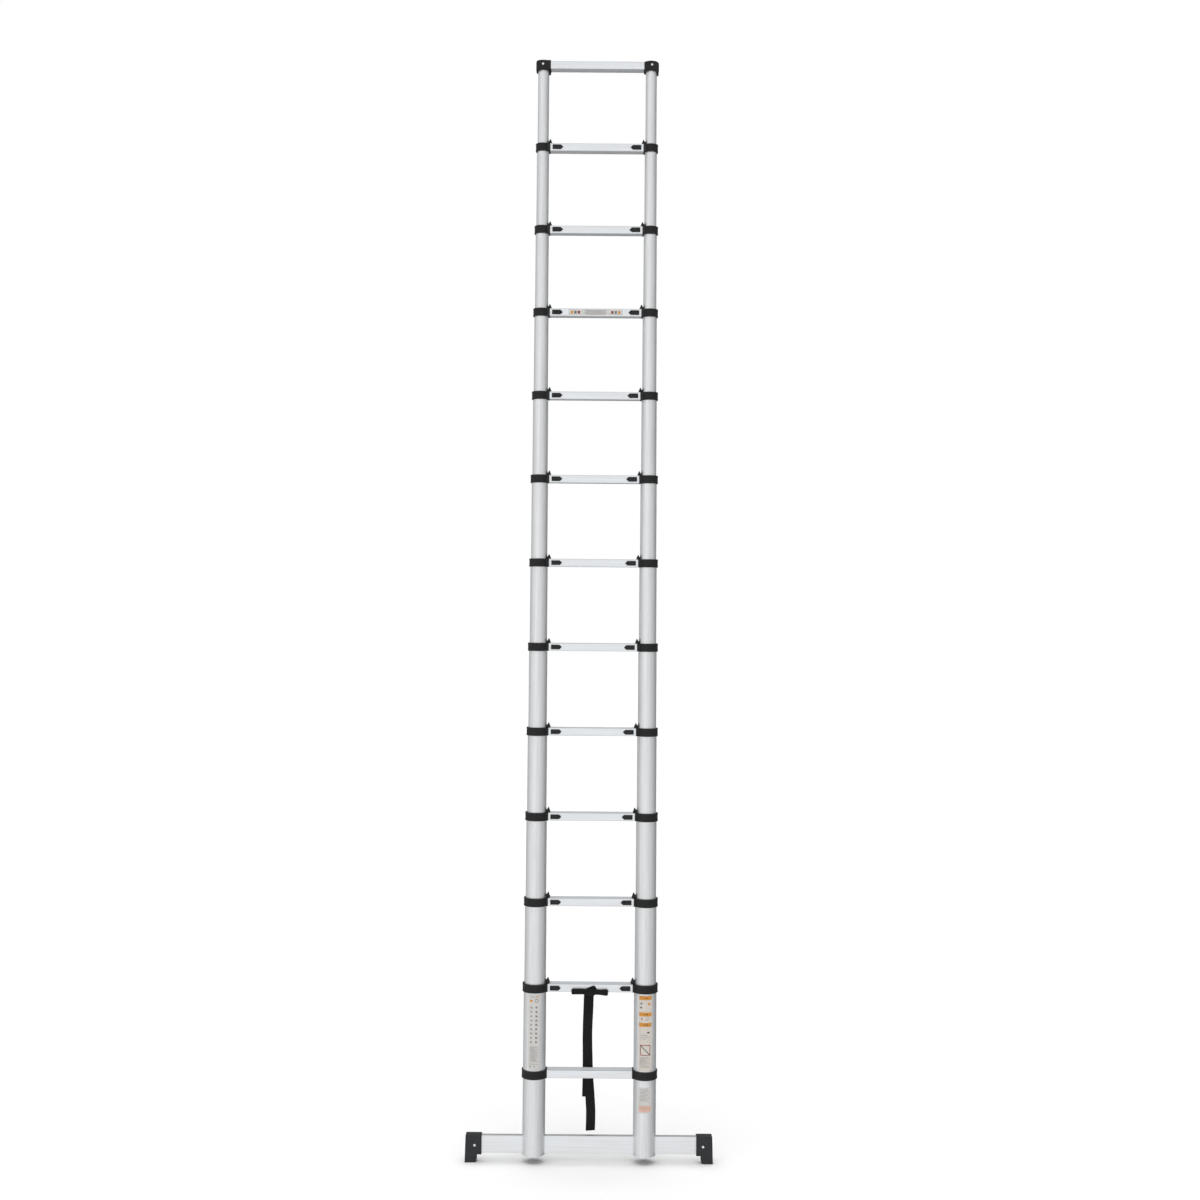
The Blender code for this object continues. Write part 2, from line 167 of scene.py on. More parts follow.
class Graph:
    """Short calls for building one material's nodes."""

    def __init__(self, name):
        self.material = bpy.data.materials.new(name)
        self.material.use_nodes = True
        self.tree = self.material.node_tree
        self.shader = self.tree.nodes["Principled BSDF"]
        self.place = self.node("ShaderNodeTexCoord").outputs["Object"]

    def node(self, kind, inputs=None, **settings):
        node = self.tree.nodes.new(kind)
        for key, value in settings.items():
            setattr(node, key, value)
        for key, value in (inputs or {}).items():
            self.feed(node.inputs[key], value)
        return node

    def feed(self, socket, value):
        if isinstance(value, bpy.types.NodeSocket):
            self.tree.links.new(value, socket)
        else:
            socket.default_value = value

    def stretched(self, scale):
        return self.node("ShaderNodeMapping", {"Vector": self.place, "Scale": scale}).outputs[0]

    def noise(self, scale, detail=3.0, place=None, roughness=0.55):
        inputs = {"Vector": place or self.place, "Scale": scale, "Detail": detail, "Roughness": roughness}
        return self.node("ShaderNodeTexNoise", inputs).outputs["Fac"]

    def spread(self, value, low, high, to_low=0.0, to_high=1.0):
        inputs = {"Value": value, "From Min": low, "From Max": high, "To Min": to_low, "To Max": to_high}
        return self.node("ShaderNodeMapRange", inputs, interpolation_type="SMOOTHSTEP").outputs["Result"]

    def math(self, operation, first, second):
        return self.node("ShaderNodeMath", {0: first, 1: second}, operation=operation).outputs[0]

    def mix(self, factor, first, second):
        node = self.node("ShaderNodeMix", data_type="RGBA")
        for index, value in ((0, factor), (6, first), (7, second)):
            self.feed(node.inputs[index], value)
        return node.outputs[2]

    def bump(self, height, strength, distance, base=None):
        inputs = {"Height": height, "Strength": strength, "Distance": distance}
        if base is not None:
            inputs["Normal"] = base
        return self.node("ShaderNodeBump", inputs).outputs[0]

    def finish(self, **sockets):
        for name, value in sockets.items():
            self.feed(self.shader.inputs[name.replace("_", " ")], value)
        return self.material


def grey(level, tint=0.0):
    """A neutral colour, bluer for a positive tint."""
    return (level * (1 - tint), level, level * (1 + tint), 1.0)


def brushed_metal(name, along, light, dark, roughness):
    """Satin aluminium, its grain drawn out along one axis, with faint cloudy stains and hairlines."""
    g = Graph(name)
    fine, wide = [2200.0] * 3, [260.0] * 3
    fine[along], wide[along] = 9.0, 5.0
    grain = g.noise(1.0, 3.0, g.stretched(fine))
    streak = g.noise(1.0, 4.0, g.stretched(wide))
    cloud = g.noise(9.0, 5.0)
    hair = g.spread(g.noise(1.0, 2.0, g.stretched([v * 0.35 for v in fine])), 0.70, 0.76)
    stain = g.spread(g.noise(34.0, 6.0, roughness=0.7), 0.62, 0.74)
    colour = g.mix(g.spread(streak, 0.3, 0.7), dark, light)
    colour = g.mix(g.math("MULTIPLY", g.spread(cloud, 0.35, 0.75), 0.22), colour, dark)
    colour = g.mix(g.math("MULTIPLY", hair, 0.18), colour, grey(0.36))
    colour = g.mix(g.math("MULTIPLY", stain, 0.16), colour, grey(0.42, -0.04))
    rough = g.math("ADD", g.spread(grain, 0.25, 0.75, roughness - 0.05, roughness + 0.06),
                   g.math("MULTIPLY", stain, 0.08))
    normal = g.bump(grain, 0.22, 0.00004)
    normal = g.bump(cloud, 0.10, 0.0004, normal)
    return g.finish(Base_Color=colour, Roughness=rough, Metallic=0.82, Normal=normal)


def moulded_plastic(name, base, worn, roughness, grain_scale, grain_strength):
    """Black moulded plastic: a fine spark-eroded grain, faint flow marks, and edges rubbed paler."""
    g = Graph(name)
    grain = g.noise(grain_scale, 2.0, roughness=0.4)
    flow = g.noise(26.0, 4.0)
    rub = g.noise(160.0, 5.0, roughness=0.7)
    edge = g.spread(g.node("ShaderNodeNewGeometry").outputs["Pointiness"], 0.515, 0.60)
    wear = g.math("MULTIPLY", edge, g.spread(rub, 0.35, 0.7))
    colour = g.mix(g.math("MULTIPLY", g.spread(flow, 0.35, 0.7), 0.45), base, worn)
    colour = g.mix(g.math("MULTIPLY", wear, 0.55), colour, grey(0.11))
    rough = g.math("ADD", g.spread(flow, 0.3, 0.7, roughness - 0.06, roughness + 0.07),
                   g.math("MULTIPLY", grain, 0.05))
    normal = g.bump(grain, grain_strength, 0.00012)
    normal = g.bump(rub, 0.06, 0.0002, normal)
    return g.finish(Base_Color=colour, Roughness=rough, Normal=normal, Specular_IOR_Level=0.28)


def woven_webbing(name):
    """Black polypropylene webbing: ribs across it and yarns along it, a little fuzzed and faded."""
    g = Graph(name)
    split = g.node("ShaderNodeSeparateXYZ", {"Vector": g.place}).outputs
    across = g.math("SINE", g.math("MULTIPLY", split[0], 5200.0), 0.0)
    length = g.math("ADD", split[1], split[2])
    shift = g.math("MULTIPLY", g.math("SIGN", across, 0.0), 1.6)
    along = g.math("SINE", g.math("ADD", g.math("MULTIPLY", length, 3900.0), shift), 0.0)
    yarn = g.math("ADD", g.math("MULTIPLY", along, 0.5), 0.5)
    weave = g.math("MULTIPLY", g.math("ABSOLUTE", across, 0.0), yarn)
    fuzz = g.noise(1800.0, 3.0)
    fade = g.noise(18.0, 4.0)
    colour = g.mix(g.spread(weave, 0.0, 0.9), grey(0.003), grey(0.010))
    colour = g.mix(g.math("MULTIPLY", g.spread(fade, 0.4, 0.75), 0.3), colour, grey(0.013, -0.06))
    rough = g.spread(fuzz, 0.3, 0.7, 0.72, 0.9)
    normal = g.bump(weave, 0.55, 0.0003)
    normal = g.bump(fuzz, 0.2, 0.0001, normal)
    return g.finish(Base_Color=colour, Roughness=rough, Normal=normal, Sheen_Weight=0.05,
                    Specular_IOR_Level=0.25)


def printed_film(name, colour, faded):
    """A thin printed film, slightly yellowed in patches, rubbed and a little wavy."""
    g = Graph(name)
    cloud = g.noise(30.0, 4.0)
    rub = g.noise(420.0, 4.0, roughness=0.7)
    tone = g.mix(g.spread(cloud, 0.35, 0.7), colour, faded)
    tone = g.mix(g.math("MULTIPLY", g.spread(rub, 0.58, 0.75), 0.35), tone, grey(0.55))
    rough = g.spread(rub, 0.3, 0.7, 0.37, 0.52)
    return g.finish(Base_Color=tone, Roughness=rough, Normal=g.bump(cloud, 0.15, 0.0003))


def bright_steel(name):
    """Zinc-plated steel for rivets, screws and pins, lightly tarnished."""
    g = Graph(name)
    tarnish = g.noise(300.0, 5.0)
    fine = g.noise(2600.0, 2.0)
    colour = g.mix(g.spread(tarnish, 0.35, 0.7), grey(0.86), grey(0.688, 0.03))
    rough = g.spread(fine, 0.3, 0.7, 0.23, 0.36)
    return g.finish(Base_Color=colour, Roughness=rough, Metallic=0.9, Normal=g.bump(fine, 0.1, 0.00005))


def pale_floor(name):
    """A white studio floor, very slightly cloudy."""
    g = Graph(name)
    cloud = g.noise(0.8, 3.0)
    colour = g.mix(g.spread(cloud, 0.3, 0.7), grey(0.93), grey(0.95))
    return g.finish(Base_Color=colour, Roughness=0.9, Specular_IOR_Level=0.1)


MATERIALS = {
    "tube": brushed_metal("tube_anodised", 2, grey(0.80, 0.022), grey(0.70, 0.012), 0.40),
    "rung": brushed_metal("rung_anodised", 0, grey(0.86, 0.035), grey(0.78, 0.022), 0.42),
    "bar": brushed_metal("bar_anodised", 0, grey(0.86, 0.03), grey(0.78, 0.015), 0.45),
    "collar": moulded_plastic("collar_plastic", grey(0.008), grey(0.013), 0.50, 2400.0, 0.35),
    "lock": moulded_plastic("lock_plastic", grey(0.009, 0.12), grey(0.014, 0.1), 0.42, 2800.0, 0.25),
    "foot": moulded_plastic("foot_rubber", grey(0.025, 0.08), grey(0.034, 0.06), 0.62, 1500.0, 0.5),
    "webbing": woven_webbing("webbing_black"),
    "steel": bright_steel("plated_steel"),
    "film": printed_film("label_film", (0.55, 0.54, 0.52, 1), (0.59, 0.58, 0.56, 1)),
    "film_warm": printed_film("label_film_warm", (0.58, 0.53, 0.47, 1), (0.61, 0.57, 0.52, 1)),
    "amber": printed_film("print_amber", (0.62, 0.25, 0.02, 1), (0.50, 0.22, 0.03, 1)),
    "red": printed_film("print_red", (0.24, 0.016, 0.010, 1), (0.20, 0.02, 0.015, 1)),
    "pink": printed_film("print_pink", (0.62, 0.38, 0.30, 1), (0.66, 0.45, 0.37, 1)),
    "ink": printed_film("print_ink", grey(0.018), grey(0.035)),
    "faint": printed_film("print_grey", grey(0.13), grey(0.20)),
}


# ---------------------------------------------------------------- mesh helpers


def object_from(bm, name):
    """Ends a bmesh: its faces pointing out, on a new object in the scene."""
    bmesh.ops.recalc_face_normals(bm, faces=bm.faces)
    mesh = bpy.data.meshes.new(name)
    bm.to_mesh(mesh)
    bm.free()
    obj = bpy.data.objects.new(name, mesh)
    bpy.context.scene.collection.objects.link(obj)
    return obj


def arc(cx, cy, radius, start, end, steps):
    """Points on an arc, its angles in degrees."""
    turns = (math.radians(start + (end - start) * i / steps) for i in range(steps + 1))
    return [(cx + radius * math.cos(t), cy + radius * math.sin(t)) for t in turns]


def rounded_rectangle(width, height, radius, steps=4):
    """A rectangle's outline about its middle, from its upper right corner."""
    outline = []
    for quarter, (sx, sy) in enumerate(((1, 1), (-1, 1), (-1, -1), (1, -1))):
        centre = sx * (width / 2 - radius), sy * (height / 2 - radius)
        outline += arc(*centre, radius, 90 * quarter, 90 * (quarter + 1), steps)
    return outline


def skin(bm, rings, closed_rows=False):
    """Faces through rings of equally many points. Closed rows join the last ring to the first,
    and otherwise both ends get a face."""
    loops = [[bm.verts.new(point) for point in ring] for ring in rings]
    pairs = list(zip(loops, loops[1:])) + ([(loops[-1], loops[0])] if closed_rows else [])
    for lower, upper in pairs:
        count = len(lower)
        for i in range(count):
            bm.faces.new((lower[i], lower[(i + 1) % count], upper[(i + 1) % count], upper[i]))
    if not closed_rows:
        bm.faces.new(reversed(loops[0]))
        bm.faces.new(loops[-1])


def loft(rings):
    bm = bmesh.new()
    skin(bm, rings)
    return object_from(bm, "loft")


def lathe(profile, sides=TUBE_SIDES, hollow=True):
    """A turned piece about Z: a closed (radius, height) outline, or a profile with flat ends."""
    bm = bmesh.new()
    turns = [2 * math.pi * i / sides for i in range(sides)]
    rings = [[(r * math.cos(t), r * math.sin(t), z) for t in turns] for r, z in profile]
    skin(bm, rings, closed_rows=hollow)
    return object_from(bm, "lathe")


def prism(outline, axis, low, high):
    """An outline drawn along an axis. Its points hold the other two places, in the order x, y, z."""
    places = {
        "x": lambda p, at: (at, p[0], p[1]),
        "y": lambda p, at: (p[0], at, p[1]),
        "z": lambda p, at: (p[0], p[1], at),
    }
    return loft([[places[axis](p, at) for p in outline] for at in (low, high)])


def box(low, high):
    return prism([(low[0], low[1]), (high[0], low[1]), (high[0], high[1]), (low[0], high[1])],
                 "z", low[2], high[2])


def rod(radius, axis, low, high, at=(0.0, 0.0), sides=32, chamfer=0.0):
    """A round rod along an axis, centred on at, whose ends can be chamfered."""
    rows = [(low + chamfer, radius), (high - chamfer, radius)]
    if chamfer:
        rows = [(low, radius - chamfer), *rows, (high, radius - chamfer)]
    turns = [2 * math.pi * i / sides for i in range(sides)]
    rings = []
    for place, r in rows:
        ring = [(at[0] + r * math.cos(t), at[1] + r * math.sin(t)) for t in turns]
        order = {"x": lambda p: (place, *p), "y": lambda p: (p[0], place, p[1]), "z": lambda p: (*p, place)}
        rings.append([order[axis](p) for p in ring])
    return loft(rings)


def apply_modifier(obj, kind, **settings):
    """Gives an object's mesh what one modifier makes of it."""
    modifier = obj.modifiers.new(kind.title(), kind)
    for key, value in settings.items():
        setattr(modifier, key, value)
    graph = bpy.context.evaluated_depsgraph_get()
    mesh = bpy.data.meshes.new_from_object(obj.evaluated_get(graph))
    obj.modifiers.remove(modifier)
    obj.data = mesh
    return obj


def bevelled(obj, width, segments=2, angle=35):
    return apply_modifier(obj, "BEVEL", width=width, segments=segments, limit_method="ANGLE",
                          angle_limit=math.radians(angle), use_clamp_overlap=True)


def combine(target, tools, operation):
    for tool in tools:
        apply_modifier(target, "BOOLEAN", operation=operation, solver="EXACT", object=tool)
        bpy.data.objects.remove(tool, do_unlink=True)
    return target


def add(target, *tools):
    return combine(target, tools, "UNION")


def cut(target, *tools):
    return combine(target, tools, "DIFFERENCE")


def join(*objs):
    """Several solids in one mesh."""
    bm = bmesh.new()
    for obj in objs:
        bm.from_mesh(obj.data)
        bpy.data.objects.remove(obj, do_unlink=True)
    return object_from(bm, "joined")


def moved(obj, offset=(0, 0, 0), turn=0.0, mirror=False):
    """Moves a mesh, after mirroring it in X or turning it about Z."""
    matrix = Matrix.Translation(offset) @ Matrix.Rotation(turn, 4, "Z")
    if mirror:
        matrix = matrix @ Matrix.Diagonal((-1, 1, 1, 1))
    obj.data.transform(matrix)
    if mirror:
        obj.data.flip_normals()
    return obj


def piece(obj, name, body, material, nodes=(), sharp=32):
    """Names a finished piece, gives it its material and puts it on its body."""
    obj.name = name
    obj.data.name = name
    if material:
        obj.data.materials.clear()
        obj.data.materials.append(MATERIALS[material])
    obj.data.shade_smooth()
    obj.data.set_sharp_from_angle(angle=math.radians(sharp))
    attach(obj, body)
    if nodes:
        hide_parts(*nodes)
    return obj


def twin(obj):
    """A copy with its own mesh."""
    other = bpy.data.objects.new(obj.name, obj.data.copy())
    bpy.context.scene.collection.objects.link(other)
    return other


# ---------------------------------------------------------------- tubes


def tube_shell(radius, bottom, top):
    """A hollow tube about Z with chamfered rims."""
    inner = radius - TUBE_WALL
    outline = [
        (inner, bottom + RIM), (inner + RIM, bottom), (radius - RIM, bottom), (radius, bottom + RIM),
        (radius, top - RIM), (radius - RIM, top), (inner + RIM, top), (inner, top - RIM),
    ]
    return lathe(outline)


def pin_hole(radius, side, height):
    """The cutter of a lock pin's hole, in the side of a tube that faces the rungs."""
    hole = rod(BORE_RADIUS, "x", radius - BORE_CUT, radius + BORE_CUT, at=(0, height))
    return moved(hole, turn=0 if side < 0 else math.pi)


def dimple(radius, angle, height):
    """The ball that presses a small round mark into a tube."""
    ball, depth = 0.006, 0.0007
    reach = radius + ball - depth
    turn = math.radians(angle)
    bm = bmesh.new()
    bmesh.ops.create_uvsphere(bm, u_segments=24, v_segments=16, radius=ball)
    place = (reach * math.cos(turn), reach * math.sin(turn), height)
    bmesh.ops.translate(bm, verts=bm.verts, vec=place)
    return object_from(bm, "ball")


def build_sliding_tubes():
    """A pair of tubes for each rung from the third up, each reaching into the stage below."""
    for rung in range(BASE_RUNG + 1, TOP_RUNG + 1):
        radius = stage_radius(rung)
        top = rung == TOP_RUNG
        end = TOP_TUBE_END if top else COLLAR_HALF - LIP
        for name, side in SIDES:
            node = "top_frame" if top else f"stile_{name}_{rung:02d}"
            tube = tube_shell(radius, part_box(node)[0].z - rung_z(rung), end)
            cut(tube, pin_hole(radius, side, -PITCH))
            if not top:
                cut(tube, dimple(radius, *DIMPLES[name]))
            moved(tube, (side * STILE_X, 0, rung_z(rung)))
            piece(tube, f"tube_{name}_{rung:02d}", body_of_stage(rung), "tube", (node,))


def bar_passage(corner, start, end):
    """The cutter that lets the bar through, with a gap round it."""
    depth, height = BAR_HIGH.y - BAR_LOW.y, BAR_HIGH.z - BAR_LOW.z
    outline = rounded_rectangle(depth + 2 * GAP, height + 2 * GAP, corner)
    return prism([(y, z + BAR_LOW.z + height / 2) for y, z in outline], "x", start, end)


def build_base_tubes():
    """The two outer tubes, slotted near the floor for the stabiliser bar."""
    top = rung_z(BASE_RUNG) + COLLAR_HALF - LIP
    for name, side in SIDES:
        tube = tube_shell(BASE_RADIUS, TUBE_BOTTOM, top)
        cut(tube, bar_passage(0.0022, -PAST, PAST))
        for rung in (1, BASE_RUNG):
            cut(tube, pin_hole(BASE_RADIUS, side, rung_z(rung)))
        moved(tube, (side * STILE_X, 0, 0))
        piece(tube, f"tube_{name}_base", "base", "tube", ("base_frame",))


def build_tube_plugs():
    """Black plugs that close the outer tubes' lower ends."""
    radius = BASE_RADIUS - TUBE_WALL - FIT
    sunk, chamfer, ring_in, ring_out = 0.0006, 0.001, 0.012, 0.014
    low, high = TUBE_BOTTOM + sunk, BAR_LOW.z - sunk
    for name, side in SIDES:
        plug = lathe([(radius - chamfer, low), (radius, low + chamfer), (radius, high)], 64, hollow=False)
        foot, root = low - sunk, low + chamfer
        add(plug, lathe([(ring_in, foot), (ring_out, foot), (ring_out, root), (ring_in, root)], 48))
        moved(plug, (side * STILE_X, 0, 0))
        piece(plug, f"tube_plug_{name}", "base", "collar")


# ---------------------------------------------------------------- collars


def collar_ring(radius):
    """The turned part of a collar: rounded rims, a shallow band round it, and the lip inside."""
    outer, half = radius + RING, COLLAR_HALF
    corner, band, slope, depth = 0.0013, 0.0082, 0.0006, 0.0005
    hold = radius - 0.0005
    mouth = radius - TUBE_WALL + FIT
    outline = [(hold, -half)]
    outline += arc(outer - corner, -half + corner, corner, -90, 0, 3)
    outline += [(outer, -band - slope), (outer - depth, -band), (outer - depth, band), (outer, band + slope)]
    outline += arc(outer - corner, half - corner, corner, 0, 90, 3)
    outline += [(mouth + 0.0007, half), (mouth, half - 0.0005), (mouth, half - LIP), (hold, half - LIP)]
    return lathe(outline)


def make_collar(radius, fin):
    """A moulded collar about the tube's axis, its flange and fin towards the rung at +X."""
    flange = box((radius - 0.006, -FLANGE_HALF_DEPTH, -COLLAR_HALF + 0.0005),
                 (radius + FLANGE, FLANGE_HALF_DEPTH, COLLAR_HALF - 0.0005))
    bevelled(flange, 0.0012, 3)
    collar = add(collar_ring(radius), flange)
    if fin:
        foot = COLLAR_HALF
        inner, tip = radius - FIN_ROOT, radius + FIN_REACH
        outline = [(inner, foot - 0.003), (radius + RING, foot - 0.003), (radius + RING + 0.0003, foot),
                   (tip, foot + 0.0003), (tip, foot + 0.0018)]
        outline += arc(radius + 0.0050, foot + FIN_RISE - 0.0016, 0.0016, 35, 130, 4)
        outline += [(radius + 0.0004, foot + FIN_SHOULDER + 0.001), (inner, foot + FIN_SHOULDER)]
        blade = bevelled(prism(outline, "y", -FIN_HALF, FIN_HALF), 0.0009, 2)
        cut(blade, rod(radius + FIN_GAP, "z", foot - 0.004, foot + FIN_RISE + 0.001, sides=TUBE_SIDES))
        add(collar, blade)
    bore = lathe([(radius + FIT, -PAST), (radius + FIT, COLLAR_HALF - LIP)], hollow=False)
    cut(collar, bore, rod(BORE_RADIUS, "x", radius - FLANGE, radius + FLANGE + 0.002))
    if fin:
        mouth = radius - TUBE_WALL + FIT
        cut(collar, lathe([(mouth, -PAST), (mouth, PAST)], hollow=False))
    return collar


def build_collars():
    """Two collars for each rung but the top one. The lowest pair has no fin and no lip."""
    for rung in range(1, TOP_RUNG):
        left = make_collar(stage_radius(rung), fin=rung > 1)
        if rung == 1:
            cut(left, rod(BASE_RADIUS + FIT, "z", -PAST, PAST, sides=TUBE_SIDES))
        right = moved(twin(left), turn=math.pi)
        for (name, side), collar in zip(SIDES, (left, right)):
            moved(collar, (side * STILE_X, 0, rung_z(rung)))
            node = "base_frame" if rung <= BASE_RUNG else f"stile_{name}_{rung:02d}"
            piece(collar, f"collar_{name}_{rung:02d}", body_of_stage(rung), "collar", (node,), 28)


# ---------------------------------------------------------------- treads and locks


def extrusion(outer, inner, low, high):
    """A hollow bar along X between two (y, z) outlines of equally many points."""
    bm = bmesh.new()
    rows = ((outer, low), (outer, high), (inner, high), (inner, low))
    skin(bm, [[(x, y, z) for y, z in outline] for outline, x in rows], closed_rows=True)
    return object_from(bm, "extrusion")


def tread_outline(inset, ribbed):
    """A rung's section as (y, z) points, with grip ribs along its upper face."""
    depth, height = RUNG_DEPTH - 2 * inset, RUNG_HEIGHT - 2 * inset
    steps = 4
    outline = rounded_rectangle(depth, height, TREAD_CORNER - INNER_CORNER * inset, steps)
    top = []
    crest = height / 2
    floor = crest - (RIB_DEPTH if ribbed else 0)
    wide, narrow = (share * RIB_PITCH for share in RIB_FLANKS)
    for i in range(RIB_COUNT):
        middle = RIB_PITCH * ((RIB_COUNT - 1) / 2 - i)
        top += [(middle + wide, crest), (middle + narrow, floor)]
        top += [(middle - narrow, floor), (middle - wide, crest)]
    return outline[:steps + 1] + top + outline[steps + 1:]


def make_tread(half_length, slots):
    """A hollow rung along X, with a slot near each end for its lock's stem."""
    tread = extrusion(tread_outline(0.0, True), tread_outline(TREAD_WALL, False), -half_length, half_length)
    if slots:
        spare = 0.0006
        inside = half_length + GAP - STEM_START + spare
        width = STEM_LENGTH + LOCK_TRAVEL + 2 * spare
        outline = rounded_rectangle(width, 2 * (STEM_HALF + spare), 0.0025, 4)
        for side in (-1, 1):
            middle = side * (inside - width / 2)
            slot = prism([(x + middle, z) for x, z in outline], "y", -0.03, -RUNG_DEPTH / 2 + 0.003)
            cut(tread, slot)
    return tread


def build_treads():
    """One tread between each two collars, and the top one between the innermost tubes."""
    for rung in range(1, TOP_RUNG + 1):
        top = rung == TOP_RUNG
        reach = STILE_X - TOP_RADIUS - 2 * GAP if top else face_x(rung) - GAP
        tread = make_tread(reach, slots=BASE_RUNG <= rung < TOP_RUNG)
        moved(tread, (0, 0, rung_z(rung)))
        node = "base_frame" if rung <= BASE_RUNG else "top_frame" if top else f"rung_{rung:02d}"
        piece(tread, f"tread_{rung:02d}", body_of_stage(rung), "rung", (node,))


def make_thumb_slide():
    """The part of a lock that a thumb moves, from the collar's face at x = 0 towards +X."""
    back = -RUNG_DEPTH / 2 - GAP
    front = back - LOCK_THICKNESS
    start, end = LOCK_START, LOCK_START + LOCK_LENGTH
    neck = end - LOCK_POINT
    outline = [(start, -LOCK_HALF), (neck, -LOCK_HALF), (end, 0), (neck, LOCK_HALF), (start, LOCK_HALF)]
    plate = bevelled(prism(outline, "y", front + 0.0016, back), 0.0009, 3)
    for height in (-0.0043, 0.0, 0.0043):
        ridge = box((start + 0.0025, front, height - 0.0011), (neck - 0.0005, front + 0.003, height + 0.0011))
        add(plate, bevelled(ridge, 0.0007, 2))
    stem = box((STEM_START, back - 0.001, -STEM_HALF),
               (STEM_START + STEM_LENGTH, back + TREAD_WALL + 0.003, STEM_HALF))
    carrier = box((CARRIER_START, back + TREAD_WALL + 0.0008, -CARRIER_HALF),
                  (CARRIER_START + 2 * CARRIER_HALF, 0.005, CARRIER_HALF))
    add(plate, stem, bevelled(carrier, 0.0006, 2))
    cut(plate, rod(PIN_RADIUS + FIT, "x", CARRIER_START - 0.001, CARRIER_START + PIN_HOLD + 0.0005))
    return plate


def make_lock_pin():
    """The steel pin pressed into the slide's carrier, on the same axis as the collar's bore."""
    return rod(PIN_RADIUS, "x", -PIN_TIP, CARRIER_START + PIN_HOLD, chamfer=0.0008)


def build_locks():
    """Two locks for each rung from the second to the last but one."""
    slide, pin = make_thumb_slide(), make_lock_pin()
    for rung in range(BASE_RUNG, TOP_RUNG):
        for name, side in SIDES:
            place = (side * face_x(rung), 0, rung_z(rung))
            node, body = f"lock_{name}_{rung:02d}", f"thumb_lock_{name}_{rung:02d}"
            for source, kind, material in ((slide, "thumb_slide", "lock"), (pin, "lock_pin", "steel")):
                copy = moved(twin(source), place, mirror=side > 0)
                piece(copy, f"{kind}_{name}_{rung:02d}", body, material, (node,))
    for source in (slide, pin):
        bpy.data.objects.remove(source, do_unlink=True)


# ---------------------------------------------------------------- top caps


def cap_roof(leaning):
    """A cap's front outline as (x, z) points: domed, and falling towards +X, or with a small step there."""
    low, half = -0.022, 0.026
    edge = half + 0.002
    if leaning:
        start, span = -0.0185, 0.034
        top = [(-half, 0.0115), (-0.0205, 0.0135), (start, 0.0142)]
        top += [(x, 0.0145 + 0.002 * math.sin(math.pi * (x - start) / span))
                for x in (-0.010, -0.002, 0.004, 0.009)]
        top += [(0.015, 0.0150), (0.0205, 0.0120), (half, 0.0075)]
    else:
        corner = 0.008
        top = arc(-half + corner, 0.0065, corner, 180, 120, 4)
        top += [(-0.014, 0.0155), (-0.004, 0.0165), (0.008, 0.0160),
                (0.0165, 0.0150), (0.0178, 0.0158), (half, 0.0155)]
    return [(edge, low), (-edge, low), (-edge, top[0][1]), *top, (edge, top[-1][1])]


def make_cap(rung_side):
    """A corner cap about the tube's axis, rounder below, with a lip hanging from its +X side."""
    low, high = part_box("cap_left")
    half_x, half_y = (high.x - low.x) / 2, (high.y - low.y) / 2
    top, bottom, lip_end = high.z - rung_z(TOP_RUNG), CAP_BOTTOM, low.z - rung_z(TOP_RUNG)
    rows = [(bottom + rise, corner) for rise, corner in CAP_ROWS] + [(top, CAP_ROWS[-1][1])]
    rings = [[(x, y, z) for x, y in rounded_rectangle(2 * half_x, 2 * half_y, r, 8)] for z, r in rows]
    cap = loft(rings)
    roof = prism(cap_roof(rung_side < 0), "y", -0.03, 0.03)
    combine(cap, [roof], "INTERSECT")
    bevelled(cap, 0.0022, 3, 40)
    lip = prism(rounded_rectangle(0.009, 0.016, 0.002, 3), "z", lip_end, bottom + 0.006)
    add(cap, bevelled(moved(lip, (half_x - 0.0052, 0, 0)), 0.0008, 2))
    around = TOP_RADIUS + GAP
    socket = lathe([(around, -PAST), (around, TOP_TUBE_END + GAP)], hollow=False)
    flare = lathe([(TOP_RADIUS + 0.0026, bottom - 0.001), (around, bottom + 0.0022)], hollow=False)
    ends = sorted((-rung_side * GAP, rung_side * PAST))
    passage = rounded_rectangle(RUNG_DEPTH + 2 * GAP, RUNG_HEIGHT + 2 * GAP, TREAD_CORNER)
    cut(cap, socket, flare, prism(passage, "x", *ends))
    cut(cap, rod(0.0056, "y", -PAST, -half_y + CAP_RECESS, at=(-CAP_RIVET_X * rung_side, CAP_RIVET_Z)))
    return cap


def rivet_head(radius, height):
    """A low domed head standing on y = 0, facing -Y."""
    shares = ((1.0, 0.0), (0.96, 0.35), (0.8, 0.7), (0.5, 0.93), (0.16, 1.0))
    rows = [(radius, 0.0004)] + [(across * radius, -up * height) for across, up in shares]
    turns = [2 * math.pi * i / 32 for i in range(32)]
    return loft([[(r * math.cos(t), y, r * math.sin(t)) for t in turns] for r, y in rows])


def build_caps():
    """A cap and its rivet on each of the innermost tubes."""
    height = rung_z(TOP_RUNG)
    front = -(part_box("cap_left")[1].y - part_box("cap_left")[0].y) / 2
    for name, side in SIDES:
        cap = moved(make_cap(-side), (side * STILE_X, 0, height))
        piece(cap, f"cap_shell_{name}", "stage_13", "collar", (f"cap_{name}",), 30)
        place = (side * (STILE_X + CAP_RIVET_X), front + CAP_RECESS, height + CAP_RIVET_Z)
        rivet = moved(rivet_head(0.0042, 0.0016), place)
        piece(rivet, f"cap_rivet_{name}", "stage_13", "steel")


# ---------------------------------------------------------------- stabiliser bar, feet and screws


